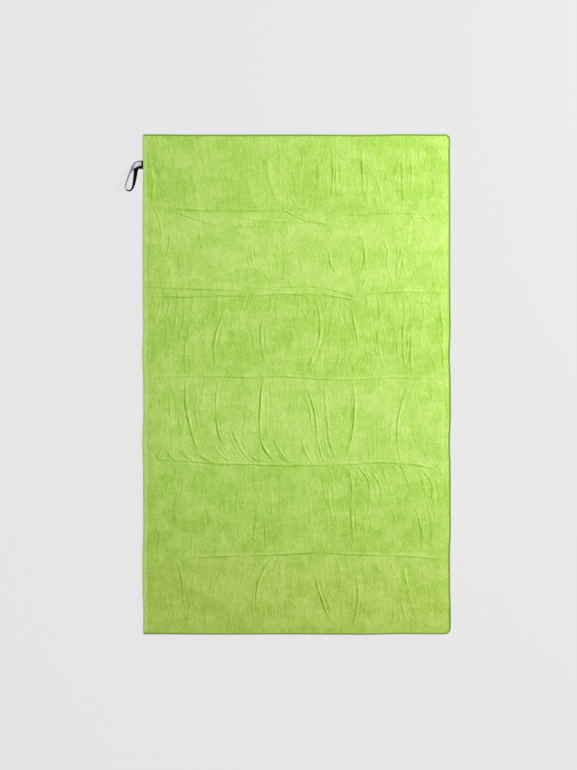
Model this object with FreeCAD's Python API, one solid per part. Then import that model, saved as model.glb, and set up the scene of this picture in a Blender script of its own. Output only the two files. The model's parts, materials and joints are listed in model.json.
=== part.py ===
"""Quick dry towel: a sheet of plush cloth that folds at its storage creases, with a hanging loop.

Frame, in millimetres: +Z up. The towel lies flat on its underside, at Z = 0, and the origin is the centre
of that underside. +Y runs along its length, to the end with the loop, and the loop is on the -X side.
"""

import FreeCAD, Part

import math
import os

V = FreeCAD.Vector

# Towel
TOWEL_WIDTH = 800.0
TOWEL_LENGTH = 1300.0
CREASES = (205.0, 412.0, 629.0, 857.0, 1088.0)  # from the end with the loop to each storage crease
CORNER_RADIUS = 15.0  # the two corners away from the loop are rounded
CLOTH_THICKNESS = 2.0
CREASE_GAP = 0.1  # between the solids of two panels, at the crease where the cloth hinges

# Side hem, turned over onto the upper face and held by one line of stitching
HEM_WIDTH = 9.0
HEM_THICKNESS = 1.6
HEM_THREAD_WIDTH = 0.8
HEM_THREAD_HEIGHT = 0.4
HEM_THREAD_INSET = 2.0  # from the hem's inner edge to the middle of the thread

# Overlocked edge: thread wrapped over the raw edge of the other three sides
EDGE_WIDTH = 4.5
EDGE_THICKNESS = 3.0

# Hanging loop: one length of tape, its two ends laid over each other and sewn into the side hem
TAPE_WIDTH = 15.0
TAPE_THICKNESS = 1.0
TAPE_LAYER_GAP = 0.2
TAPE_END_BOTTOM = 0.9  # underside of the lower tape end
TAPE_IN_HEM = 7.0
TAPE_OUTSIDE = 5.0  # from the hem's edge to the line where the free loop starts to lift
UPPER_END_Y = 574.0  # middle of the upper tape end, its outer face up
LOWER_END_Y = 567.0  # middle of the lower tape end, its inner face up
LOOP_SECTIONS = 37

# Bar tack: dense stitching over the tape ends, beside the hem
TACK_WIDTH = 4.0
TACK_HEIGHT = 0.5
TACK_TO_HEM = 0.3

PANELS = len(CREASES) + 1
LEFT = -TOWEL_WIDTH / 2
RIGHT = TOWEL_WIDTH / 2
TOP = TOWEL_LENGTH / 2
LIFT_X = LEFT - TAPE_OUTSIDE
LOWER_END_Z = TAPE_END_BOTTOM + TAPE_THICKNESS / 2
UPPER_END_Z = LOWER_END_Z + TAPE_THICKNESS + TAPE_LAYER_GAP

# The free loop's middle line: X, Y, how far the outer face leans back to face up (degrees), and the height
# of the tape's lowest edge. The tape leaves the hem flat with its outer face up, turns on edge, goes round,
# and comes back leaning the other way, to lie under its own start with its inner face up.
LOOP_ROUTE = [
    (LIFT_X, UPPER_END_Y, 90.0, UPPER_END_Z - TAPE_THICKNESS / 2),
    (-408.0, 573.9, 90.0, 2.1),
    (-414.5, 571.9, 85.0, 2.1),
    (-423.0, 565.0, 54.0, 1.6),
    (-431.0, 554.0, 24.0, 0.5),
    (-437.5, 539.5, 14.0, 0.3),
    (-442.5, 525.0, 11.0, 0.3),
    (-444.8, 513.0, 8.0, 0.3),
    (-441.5, 505.0, -8.0, 0.3),
    (-434.5, 503.0, -16.0, 0.3),
    (-428.0, 508.0, -20.0, 0.3),
    (-424.0, 518.0, -27.0, 0.3),
    (-421.0, 533.0, -35.0, 0.3),
    (-419.2, 546.0, -42.0, 0.3),
    (-418.2, 555.0, -50.0, 0.3),
    (-415.8, 562.5, -66.0, 0.3),
    (-411.6, 566.3, -84.0, 0.5),
    (-408.0, 567.0, -90.0, 0.8),
    (LIFT_X, LOWER_END_Y, -90.0, LOWER_END_Z - TAPE_THICKNESS / 2),
]


def box(x0, x1, y0, y1, z0, z1):
    return Part.makeBox(x1 - x0, y1 - y0, z1 - z0, V(x0, y0, z0))


def rounded_outline(inset, z):
    """The towel's outline, moved in by inset: square corners on the left, rounded ones on the right."""
    left = LEFT
    right = RIGHT - inset
    top = TOP - inset
    radius = CORNER_RADIUS - inset
    diagonal = radius * math.sqrt(0.5)
    centre_x = right - radius
    centre_y = top - radius
    edges = [
        Part.LineSegment(V(left, -top, z), V(centre_x, -top, z)),
        Part.Arc(
            V(centre_x, -top, z),
            V(centre_x + diagonal, -centre_y - diagonal, z),
            V(right, -centre_y, z),
        ),
        Part.LineSegment(V(right, -centre_y, z), V(right, centre_y, z)),
        Part.Arc(
            V(right, centre_y, z),
            V(centre_x + diagonal, centre_y + diagonal, z),
            V(centre_x, top, z),
        ),
        Part.LineSegment(V(centre_x, top, z), V(left, top, z)),
        Part.LineSegment(V(left, top, z), V(left, -top, z)),
    ]
    return Part.Wire([edge.toShape() for edge in edges])


def plate(inset, thickness):
    return Part.Face(rounded_outline(inset, 0.0)).extrude(V(0, 0, thickness))


def panel_span(number):
    """The lowest and highest Y of a panel. Panel 1 is at the end with the loop."""
    ends = (0.0,) + CREASES + (TOWEL_LENGTH,)
    high = TOP - ends[number - 1]
    low = TOP - ends[number]
    if number > 1:
        high -= CREASE_GAP / 2
    if number < PANELS:
        low += CREASE_GAP / 2
    return low, high


def slice_of(shape, number):
    """The part of a full-length shape that lies in one panel."""
    low, high = panel_span(number)
    margin = 10.0
    return shape.common(box(LEFT - margin, RIGHT + margin, low, high, -margin, margin))


def make_tape_ends():
    """The two flat ends of the tape, one over the other, from inside the hem to the free loop."""
    inner = LEFT + TAPE_IN_HEM
    half = TAPE_WIDTH / 2
    ends = []
    for middle, height in ((UPPER_END_Y, UPPER_END_Z), (LOWER_END_Y, LOWER_END_Z)):
        low = height - TAPE_THICKNESS / 2
        ends.append(box(LIFT_X, inner, middle - half, middle + half, low, low + TAPE_THICKNESS))
    return ends


def make_bar_tack():
    """Dense stitching over the upper tape end and the strip of the lower one that it leaves bare."""
    half = TAPE_WIDTH / 2
    x0 = LEFT - TACK_WIDTH - TACK_TO_HEM
    x1 = LEFT - TACK_TO_HEM
    upper_top = UPPER_END_Z + TAPE_THICKNESS / 2
    lower_top = LOWER_END_Z + TAPE_THICKNESS / 2
    top = upper_top + TACK_HEIGHT
    over_upper = box(x0, x1, UPPER_END_Y - half, UPPER_END_Y + half, upper_top, top)
    over_lower = box(x0, x1, LOWER_END_Y - half, UPPER_END_Y - half, lower_top, top)
    return over_upper.fuse(over_lower).removeSplitter()


def smooth_curve(steps, values):
    """A smooth curve of one value over the distance along the loop."""
    curve = Part.BSplineCurve()
    curve.interpolate(Points=[V(s, value, 0) for s, value in zip(steps, values)], Parameters=steps)
    return curve


def route_curves():
    """The loop's middle line in plan, its lean and its lowest edge, over the distance along the loop."""
    x, y, lean, low = zip(*LOOP_ROUTE)
    steps = [0.0]
    for i in range(1, len(LOOP_ROUTE)):
        steps.append(steps[-1] + math.hypot(x[i] - x[i - 1], y[i] - y[i - 1]))
    plan = Part.BSplineCurve()
    plan.interpolate(Points=[V(px, py, 0) for px, py in zip(x, y)], Parameters=steps)
    return plan, smooth_curve(steps, lean), smooth_curve(steps, low), steps[-1]


def loop_section(curves, share):
    """One cross-section of the tape, a share of the way round the loop."""
    plan, lean, low, total = curves
    s = total * share
    middle = plan.value(s)
    along = plan.tangent(s)[0]
    if share in (0.0, 1.0):
        along = V(round(along.x), 0, 0)  # square to the lift line, so that the ends meet the tape in the hem
    angle = math.radians(max(-90.0, min(90.0, lean.value(s).y)))
    outward = V(along.y, -along.x, 0)
    up = V(0, 0, 1)
    face = outward * math.cos(angle) + up * math.sin(angle)
    across = up * math.cos(angle) - outward * math.sin(angle)
    half_height = abs(across.z) * TAPE_WIDTH / 2 + abs(face.z) * TAPE_THICKNESS / 2
    centre = V(middle.x, middle.y, low.value(s).y + half_height)
    a = across * (TAPE_WIDTH / 2)
    f = face * (TAPE_THICKNESS / 2)
    return Part.makePolygon([centre - a - f, centre + a - f, centre + a + f, centre - a + f, centre - a - f])


def make_hanging_loop():
    """The free loop of tape, from the lift line round to the lift line."""
    curves = route_curves()
    sections = [loop_section(curves, i / (LOOP_SECTIONS - 1)) for i in range(LOOP_SECTIONS)]
    loop = Part.makeLoft(sections, True, True)
    length = curves[0].length()
    print("free loop: length %.1f mm, volume %.0f mm3" % (length, loop.Volume))
    print("  tape section times length: %.0f mm3" % (TAPE_WIDTH * TAPE_THICKNESS * length))
    return loop


def make_parts():
    tape_ends = make_tape_ends()
    cloth = plate(EDGE_WIDTH / 2, CLOTH_THICKNESS)
    hem = box(LEFT, LEFT + HEM_WIDTH, -TOP + EDGE_WIDTH, TOP - EDGE_WIDTH, CLOTH_THICKNESS,
              CLOTH_THICKNESS + HEM_THICKNESS)
    for end in tape_ends:
        cloth = cloth.cut(end)
        hem = hem.cut(end)
    edge = plate(0.0, EDGE_THICKNESS).cut(plate(EDGE_WIDTH, EDGE_THICKNESS)).cut(cloth)
    thread_x = LEFT + HEM_WIDTH - HEM_THREAD_INSET
    thread_z = CLOTH_THICKNESS + HEM_THICKNESS
    hem_thread = box(
        thread_x - HEM_THREAD_WIDTH / 2,
        thread_x + HEM_THREAD_WIDTH / 2,
        -TOP + EDGE_WIDTH,
        TOP - EDGE_WIDTH,
        thread_z,
        thread_z + HEM_THREAD_HEIGHT,
    )
    parts = {}
    for number in range(1, PANELS + 1):
        parts["cloth_panel_%d" % number] = slice_of(cloth, number)
        parts["side_hem_%d" % number] = slice_of(hem, number)
        parts["hem_stitching_%d" % number] = slice_of(hem_thread, number)
        parts["edge_stitching_%d" % number] = slice_of(edge, number)
    parts["loop_tape_ends"] = Part.makeCompound(tape_ends)
    parts["bar_tack"] = make_bar_tack()
    parts["hanging_loop"] = make_hanging_loop()
    return parts


os.makedirs("parts", exist_ok=True)
for node, shape in make_parts().items():
    shape.exportStep("parts/%s.step" % node)
    print(node, "solids", len(shape.Solids), "valid", shape.isValid(), "volume %.0f" % shape.Volume)
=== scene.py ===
"""The looks of the quick dry towel, in metres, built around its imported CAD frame.

The towel lies on its underside. The cloth, hem, hem stitches and overlock are first laid out on the flat
cloth, as x, y and height, and then moved by place(), which adds the cloth's relief, so that they stay
together. The hanging loop and its bar tack lie where the CAD part has them.
"""

import json
import math

import bpy
import numpy as np
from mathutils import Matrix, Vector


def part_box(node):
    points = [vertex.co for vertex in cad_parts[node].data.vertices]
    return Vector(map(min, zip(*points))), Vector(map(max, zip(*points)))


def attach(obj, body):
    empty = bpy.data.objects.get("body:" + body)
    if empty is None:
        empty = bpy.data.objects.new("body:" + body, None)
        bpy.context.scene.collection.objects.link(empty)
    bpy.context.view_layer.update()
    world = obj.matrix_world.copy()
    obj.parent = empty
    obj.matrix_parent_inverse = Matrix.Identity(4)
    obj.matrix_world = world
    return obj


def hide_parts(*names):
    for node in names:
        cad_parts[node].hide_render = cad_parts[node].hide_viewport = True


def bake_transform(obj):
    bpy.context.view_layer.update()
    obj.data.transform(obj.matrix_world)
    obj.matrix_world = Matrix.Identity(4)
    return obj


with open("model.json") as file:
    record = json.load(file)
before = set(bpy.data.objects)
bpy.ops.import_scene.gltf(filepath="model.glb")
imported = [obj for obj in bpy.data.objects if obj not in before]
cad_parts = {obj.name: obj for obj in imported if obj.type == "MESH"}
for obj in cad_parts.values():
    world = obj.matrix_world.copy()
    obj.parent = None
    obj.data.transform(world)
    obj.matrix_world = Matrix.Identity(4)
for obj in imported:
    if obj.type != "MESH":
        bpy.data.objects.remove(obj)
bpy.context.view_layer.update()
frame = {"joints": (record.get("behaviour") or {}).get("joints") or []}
MM = 0.001

# Places taken from the frame
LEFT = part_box("side_hem_1")[0].x
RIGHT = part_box("edge_stitching_1")[1].x
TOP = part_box("edge_stitching_1")[1].y
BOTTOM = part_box("edge_stitching_6")[0].y
WIDTH = RIGHT - LEFT
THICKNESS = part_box("cloth_panel_2")[1].z
HEM_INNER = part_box("side_hem_2")[1].x
HEM_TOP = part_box("side_hem_2")[1].z
EDGE_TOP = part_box("edge_stitching_2")[1].z
EDGE_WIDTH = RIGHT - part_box("edge_stitching_2")[0].x
HEM_THREAD_X = (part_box("hem_stitching_2")[0].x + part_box("hem_stitching_2")[1].x) / 2
FOLDS = [joint["pos_m"][1] for joint in frame["joints"] if joint["name"].startswith("fold_")]
PANEL_ENDS = [TOP] + FOLDS + [BOTTOM]
PANELS = len(PANEL_ENDS) - 1
# Each length of the towel runs from the middle of one panel to the middle of the next, over one fold
MIDDLES = [(PANEL_ENDS[n] + PANEL_ENDS[n + 1]) / 2 for n in range(1, PANELS - 1)]
CUTS = [TOP] + MIDDLES + [BOTTOM]

CORNER_RADIUS = 15 * MM


# ---------- camera, light and floor

VIEW_HEIGHT = 2.002
VIEW_CENTRE = (-0.02145, -0.00195)
CAMERA_HEIGHT = 12.0
SENSOR = 36.0
KEY_PLACE = (2.5, 1.15, 1.85)
KEY_SIZE = 0.7
KEY_POWER = 124.0
FILL_STRENGTH = 0.39
FLOOR_GREY = 0.80  # nearly all of it light of the floor's own, so that it is even
FLOOR_DIFFUSE = 0.06  # the share that takes light and shadow
FLOOR_HALF = 20.0
FLOOR_DROP = 0.05 * MM


def make_camera():
    """Straight down, from far off, so that the towel is seen almost without perspective."""
    data = bpy.data.cameras.new("camera")
    data.sensor_width = SENSOR
    data.lens = SENSOR * CAMERA_HEIGHT / VIEW_HEIGHT
    data.clip_end = 100.0
    camera = bpy.data.objects.new("camera", data)
    camera.location = (*VIEW_CENTRE, CAMERA_HEIGHT)
    bpy.context.scene.collection.objects.link(camera)
    bpy.context.scene.camera = camera


def make_lights():
    """One soft key light from beyond the upper right corner, and an even fill from all round."""
    data = bpy.data.lights.new("key", "AREA")
    data.size = KEY_SIZE
    data.energy = KEY_POWER
    key = bpy.data.objects.new("key", data)
    key.location = KEY_PLACE
    key.visible_camera = False
    aim = -key.location
    key.rotation_euler = aim.to_track_quat("-Z", "Y").to_euler()
    bpy.context.scene.collection.objects.link(key)
    world = bpy.data.worlds.new("studio")
    world.use_nodes = True
    background = world.node_tree.nodes["Background"]
    background.inputs["Color"].default_value = (1, 1, 1, 1)
    background.inputs["Strength"].default_value = FILL_STRENGTH
    bpy.context.scene.world = world


# ---------- relief of the cloth

RASTER = 1.0 * MM
PLEAT_WIDTH = 2.0 * MM
PLEAT_HEIGHT = 1.1 * MM
PLEAT_TROUGH = 0.45  # depth of the trough beside a pleat, as a share of its height
FAN_TROUGH = 0.5
HOLLOW_WIDTH = 9 * MM
HOLLOW_DEPTH = 1.3 * MM
RIDGE_WIDTH = 5 * MM
RIDGE_HEIGHT = 1.0 * MM
CRINKLE_WIDTH = 1.7 * MM
COMPANIONS = 2  # fainter wrinkles beside each pleat that runs along the towel

# The line of one wrinkle strays a little, and its height is uneven along it
LINE_POINTS = 33
FINE_STRAY = 1.3 * MM
FINE_STRAY_SPAN = 30 * MM
BROAD_STRAY = 0.008  # as a share of the wrinkle's length
BROAD_STRAY_SPAN = 90 * MM
UNEVENNESS = 0.35
UNEVEN_SPAN = 22 * MM

# The section of one wrinkle, in widths: it slopes further on LEAN_SIDE, and its trough is on the other side
LEAN_SIDE = np.array([0.8, 0.6])
LONG_SLOPE = 1.7
TROUGH_PLACE = 2.1
TROUGH_WIDTH = 1.1
TROUGH_LIMIT = 4
REACH = 6

# Height of the cloth's underside above the surface
REST_LIFT = 1.7 * MM
LEAST_LIFT = 0.05 * MM
MOST_LIFT = 3.9 * MM
BORDER = 28 * MM  # the cloth comes down to the surface over this distance from its edges
BORDER_LIFT = 0.12  # share of the lift that is left at the edges
# Soft waves over the whole cloth: noise seed, size across and along the towel, height
SOFT_WAVES = [
    (11, 95 * MM, 120 * MM, 0.5 * MM), (12, 34 * MM, 70 * MM, 0.28 * MM), (13, 13 * MM, 38 * MM, 0.15 * MM),
]

# Wrinkles, panel by panel. Each is: start across the towel (0 left, 1 right) and down the panel (0 upper
# crease, 1 lower crease), end in the same way, sideways bow as a share of its length, and strength.
PLEATS = {
    1: [
        (0.617, 0.18, 0.612, 0.77, 0.02, 0.7), (0.633, 0.18, 0.628, 0.77, -0.02, 0.5),
        (0.711, 0.16, 0.713, 0.74, 0.03, 1), (0.757, 0.56, 0.774, 0.89, 0.05, 0.7),
        (0.846, 0.22, 0.843, 0.98, 0, 0.8), (0.871, 0.18, 0.869, 0.77, 0.02, 0.7),
        (0.486, 0.47, 0.497, 0.81, 0.04, 0.5), (0.568, 0.3, 0.56, 0.77, 0.05, 0.6),
        (0.012, 0.25, 0.03, 0.85, 0.05, 0.5), (0.178, 0.26, 0.2, 0.37, 0.2, 0.5),
        (0.042, 0.92, 0.454, 0.95, -0.01, 1), (0.06, 0.97, 0.33, 0.99, 0.01, 0.5),
    ],
    2: [
        (0.454, -0.05, 0.6, 0.13, -0.05, 1), (0.086, -0.06, 0.248, 0.15, -0.03, 0.5),
        (0.28, 0.155, 0.432, 0.12, -0.03, 0.5), (0.3, 0.03, 0.6, 0.08, -0.05, 0.6),
        (0.6, 0.01, 0.985, 0.01, 0, 0.8), (0.866, -0.05, 0.89, 0.15, 0, 0.6),
        (0.888, 0, 0.86, 0.16, 0, 0.6), (0.905, 0.02, 0.935, 0.13, 0, 0.5),
        (0.036, -0.08, 0.062, 0.3, 0.05, 0.5), (0.709, 0.27, 0.698, 0.86, 0.12, 0.9),
        (0.725, 0.82, 0.703, 0.94, 0.1, 0.7), (0.606, 0.48, 0.633, 0.77, -0.08, 0.6),
        (0.774, 0.31, 0.79, 0.65, 0.15, 0.6), (0.844, 0.46, 0.828, 0.82, -0.05, 0.7),
        (0.866, 0.19, 0.86, 0.44, 0, 0.5), (0.362, 0.4, 0.367, 0.56, 0, 0.4),
        (0.389, 0.73, 0.411, 0.84, 0, 0.4), (0.01, 0.92, 0.335, 0.97, 0, 1),
        (0.346, 0.96, 0.584, 0.92, 0.03, 0.9), (0.584, 0.93, 0.692, 1.05, 0.04, 1),
    ],
    3: [
        (0.02, 0.04, 0.346, 0.03, 0, 1), (0.346, 0.03, 0.584, 0.02, 0.02, 1),
        (0.584, 0.02, 0.692, 0.09, 0.03, 1), (0.714, -0.01, 0.985, -0.01, 0, 0.8),
        (0.887, 0.11, 0.931, 0.11, 0, 0.6), (0.27, 0.18, 0.237, 0.9, -0.08, 0.9),
        (0.151, 0.38, 0.138, 0.94, -0.02, 0.7), (0.134, 0.18, 0.129, 0.38, 0, 0.5),
        (0.107, 0.26, 0.102, 0.5, 0, 0.5), (0.389, 0.26, 0.4, 0.82, -0.06, 0.7),
        (0.562, 0.06, 0.53, 0.94, 0.12, 0.9), (0.616, 0.26, 0.606, 0.5, 0, 0.5),
        (0.676, 0.18, 0.698, 0.7, 0.03, 0.8), (0.644, 0.7, 0.627, 0.94, 0, 0.7),
        (0.676, 0.74, 0.687, 0.98, 0, 0.6), (0.763, 0.42, 0.784, 0.9, -0.04, 0.7),
        (0.849, 0.26, 0.855, 0.9, -0.05, 0.9), (0.871, 0.5, 0.873, 0.94, 0, 0.7),
        (0.966, 0.12, 0.982, 1.02, 0, 0.9),
    ],
    4: [
        (0.982, -0.02, 0.986, 0.98, 0.01, 0.9),
        (0.01, 0, 0.98, 0.02, 0, 0.8), (0.138, 0.02, 0.183, 0.86, -0.06, 1.2),
        (0.091, 0.1, 0.107, 0.48, 0.04, 0.6), (0.113, 0.48, 0.129, 0.67, 0, 0.6),
        (0.199, 0.06, 0.189, 0.33, 0, 0.6), (0.248, 0.02, 0.237, 0.4, -0.05, 0.7),
        (0.237, 0.4, 0.261, 0.78, -0.05, 0.9), (0.291, 0.61, 0.351, 0.97, -0.05, 0.9),
        (0.394, 0.02, 0.384, 0.7, -0.05, 1.2), (0.384, 0.67, 0.432, 0.97, -0.12, 0.9),
        (0.427, 0.71, 0.486, 0.99, -0.08, 0.8), (0.535, 0.14, 0.568, 0.74, 0.04, 1.2),
        (0.566, 0.68, 0.589, 0.97, -0.03, 1), (0.589, 0.06, 0.595, 0.46, 0, 0.6),
        (0.595, 0.42, 0.627, 0.94, -0.03, 0.9), (0.519, 0.71, 0.551, 0.99, -0.1, 0.7),
        (0.681, 0.06, 0.665, 0.92, 0.05, 1.2), (0.768, 0.63, 0.763, 0.9, 0, 0.4),
        (0.871, 0.06, 0.839, 0.97, -0.1, 0.8), (0.904, 0.78, 0.931, 0.97, 0, 0.6),
        (0.042, 0.86, 0.064, 0.97, -0.1, 0.7), (0.08, 0.82, 0.118, 0.97, -0.15, 0.8),
        (0.129, 0.82, 0.183, 0.97, -0.15, 0.9), (0.183, 0.86, 0.237, 0.97, -0.15, 0.9),
        (0.232, 0.75, 0.286, 0.97, -0.12, 0.9), (0.346, 0.86, 0.384, 0.97, -0.1, 0.8),
        (0.443, 0.88, 0.481, 0.99, -0.1, 0.7), (0.02, 0.94, 0.627, 1.01, -0.01, 1),
        (0.627, 1, 0.844, 0.99, 0.02, 1),
    ],
    5: [
        (0.985, 0, 0.99, 0.7, 0, 0.7),
        (0.844, 0, 0.952, 0.06, 0.04, 0.8), (0.66, 0.01, 0.676, 0.44, 0.08, 0.8),
        (0.676, 0.42, 0.681, 0.87, 0, 0.8), (0.692, 0.01, 0.736, 0.4, 0.15, 0.8),
        (0.736, 0.38, 0.719, 0.66, 0.04, 0.6), (0.736, 0.05, 0.774, 0.42, 0.12, 0.6),
        (0.779, 0.05, 0.79, 0.2, 0, 0.5), (0.898, 0.05, 0.936, 0.42, 0.18, 0.8),
        (0.876, 0.46, 0.904, 0.91, 0.08, 0.6), (0.6, 0.35, 0.616, 0.69, 0, 0.6),
    ],
    6: [
        (0.14, 0.045, 0.346, 0.025, 0, 0.9), (0.346, 0.025, 0.584, -0.01, 0, 1.1),
        (0.584, -0.01, 0.8, 0.025, 0, 1), (0.8, 0.025, 0.974, 0.07, 0, 0.6),
        (0.113, 0.11, 0.134, 0.56, 0.04, 0.6), (0.264, 0.15, 0.229, 0.56, -0.05, 0.7),
        (0.302, 0.07, 0.264, 0.19, -0.1, 0.5), (0.427, 0.05, 0.37, 0.72, -0.12, 1.1),
        (0.449, 0.05, 0.432, 0.15, 0, 0.6), (0.562, 0.27, 0.616, 0.89, -0.04, 1.1),
        (0.627, 0.02, 0.644, 0.43, 0.04, 0.7), (0.695, 0.27, 0.681, 0.89, 0.06, 1.1),
        (0.757, 0.11, 0.779, 0.27, 0, 0.6), (0.849, 0.15, 0.86, 0.43, 0, 1.2),
        (0.839, 0.6, 0.855, 0.84, 0, 0.9), (0.817, 0.68, 0.811, 0.89, 0, 0.8),
    ],
}
RIDGES = {
    1: [
        (0.405, 0.32, 0.443, 0.87, -0.06, 1), (0.27, 0.26, 0.275, 0.64, 0, 0.7),
        (0.161, 0.39, 0.165, 0.68, 0, 0.6), (0.031, 0.35, 0.064, 0.6, 0.05, 0.9),
    ],
    2: [(0.02, 0.965, 0.55, 0.955, 0.01, 0.6)],
    3: [(0.256, 0.4, 0.275, 0.8, -0.08, 0.9)],
    5: [(0.086, 0.65, 0.356, 0.65, 0, 0.4), (0.362, 0.02, 0.378, 0.84, 0, 0.4)],
    6: [(0.25, -0.03, 0.75, -0.03, 0, 0.6), (0.862, 0.43, 0.898, 0.84, -0.05, 1)],
}
HOLLOWS = {
    1: [(0.014, 0.1, 0.042, 1, 0.05, 0.8)],
    2: [
        (0.048, 0, 0.08, 0.6, 0.04, 0.6), (0.096, 0.48, 0.113, 0.86, 0, 0.6),
        (0.633, 0.08, 0.633, 0.28, 0, 0.5),
    ],
    4: [(0.1, 0.12, 0.115, 0.6, 0, 0.5)],
    5: [(0.606, 0.72, 0.597, 0.91, 0, 0.7), (0.27, 0.74, 0.274, 0.9, 0, 0.5)],
    6: [(0.855, 0.12, 0.866, 0.45, 0, 0.8)],
}
# Rows of small slanted pleats that start at a panel's upper crease: panel, from and to across the towel,
# how many, how far down the panel (or up, if below 0), sideways lean
FANS = [
    (3, 0.275, 0.44, 9, 0.1, -0.014), (3, 0.735, 0.97, 12, -0.12, 0.016),
    (5, 0.63, 0.83, 9, 0.09, 0.012), (3, 0.06, 0.56, 16, 0.34, -0.012),
    (3, 0.64, 0.9, 10, 0.4, 0.006), (5, 0.56, 0.96, 18, 0.38, 0.018),
    (6, 0.15, 0.52, 10, 0.16, -0.012),
]
# How many small crinkles each panel has
CRINKLES = {1: 40, 2: 22, 3: 70, 4: 50, 5: 80, 6: 38}


def smoothstep(t):
    """0 below 0, 1 above 1, and smooth between them."""
    t = np.clip(t, 0, 1)
    return t * t * (3 - 2 * t)


def blend_cells(grid, iu, iv, fu, fv):
    """The value between four neighbours of a grid, a share fu across and fv along. The grid wraps round."""
    rows, columns = grid.shape
    ju = (iu + 1) % columns
    jv = (iv + 1) % rows
    iu = iu % columns
    iv = iv % rows
    low = grid[iv, iu] * (1 - fu) + grid[iv, ju] * fu
    high = grid[jv, iu] * (1 - fu) + grid[jv, ju] * fu
    return low * (1 - fv) + high * fv


def smooth_noise(seed, x, y, wave_x, wave_y):
    """Seeded noise from -1 to 1 whose bumps are wave_x apart across the towel and wave_y along it."""
    cells = 64
    grid = np.random.default_rng(seed).uniform(-1, 1, (cells, cells))
    u = np.asarray(x) / wave_x
    v = np.asarray(y) / wave_y
    iu = np.floor(u).astype(int)
    iv = np.floor(v).astype(int)
    return blend_cells(grid, iu, iv, smoothstep(u - iu), smoothstep(v - iv))


def on_panel(panel, across, down):
    """A place given as shares of a panel, in metres."""
    high = PANEL_ENDS[panel - 1]
    low = PANEL_ENDS[panel]
    return np.array([LEFT + across * WIDTH, high + down * (low - high)])


def wrinkle_line(panel, wrinkle):
    """Points along a wrinkle's bowed, slightly straying line, its length, and a noise seed of its own."""
    u0, v0, u1, v1, bow, _ = wrinkle
    start = on_panel(panel, u0, v0)
    end = on_panel(panel, u1, v1)
    run = end - start
    length = math.hypot(*run)
    normal = np.array([-run[1], run[0]])
    middle = (start + end) / 2 + normal * bow * 2
    t = np.linspace(0, 1, LINE_POINTS)[:, None]
    points = start * (1 - t) ** 2 + middle * 2 * t * (1 - t) + end * t ** 2
    t = t[:, 0]
    seed = int(u0 * 997 + (v0 + 1) * 131) + panel
    stray = smooth_noise(seed, t * length, 0 * t, FINE_STRAY_SPAN, 1.0) * FINE_STRAY
    stray += smooth_noise(seed + 3, t * length, 0 * t, BROAD_STRAY_SPAN, 1.0) * length * BROAD_STRAY
    points += normal / length * (stray * np.sin(math.pi * t))[:, None]
    return points, length, seed


def measure_from(line, x, y):
    """How far each place is from a line, the same but negative off LEAN_SIDE, and how far along it is."""
    nearest = np.full(x.shape, 1.0)
    signed = np.full(x.shape, 1.0)
    along = np.zeros(x.shape)
    for i in range(len(line) - 1):
        piece = line[i + 1] - line[i]
        share = ((x - line[i, 0]) * piece[0] + (y - line[i, 1]) * piece[1]) / (piece @ piece)
        share = np.clip(share, 0, 1)
        off_x = x - line[i, 0] - share * piece[0]
        off_y = y - line[i, 1] - share * piece[1]
        distance = np.hypot(off_x, off_y)
        cross = piece[0] * off_y - piece[1] * off_x
        facing = 1.0 if -piece[1] * LEAN_SIDE[0] + piece[0] * LEAN_SIDE[1] > 0 else -1.0
        closer = distance < nearest
        signed = np.where(closer, distance * np.sign(cross) * facing, signed)
        nearest = np.where(closer, distance, nearest)
        along = np.where(closer, (i + share) / (len(line) - 1), along)
    return nearest, signed, along


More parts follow.
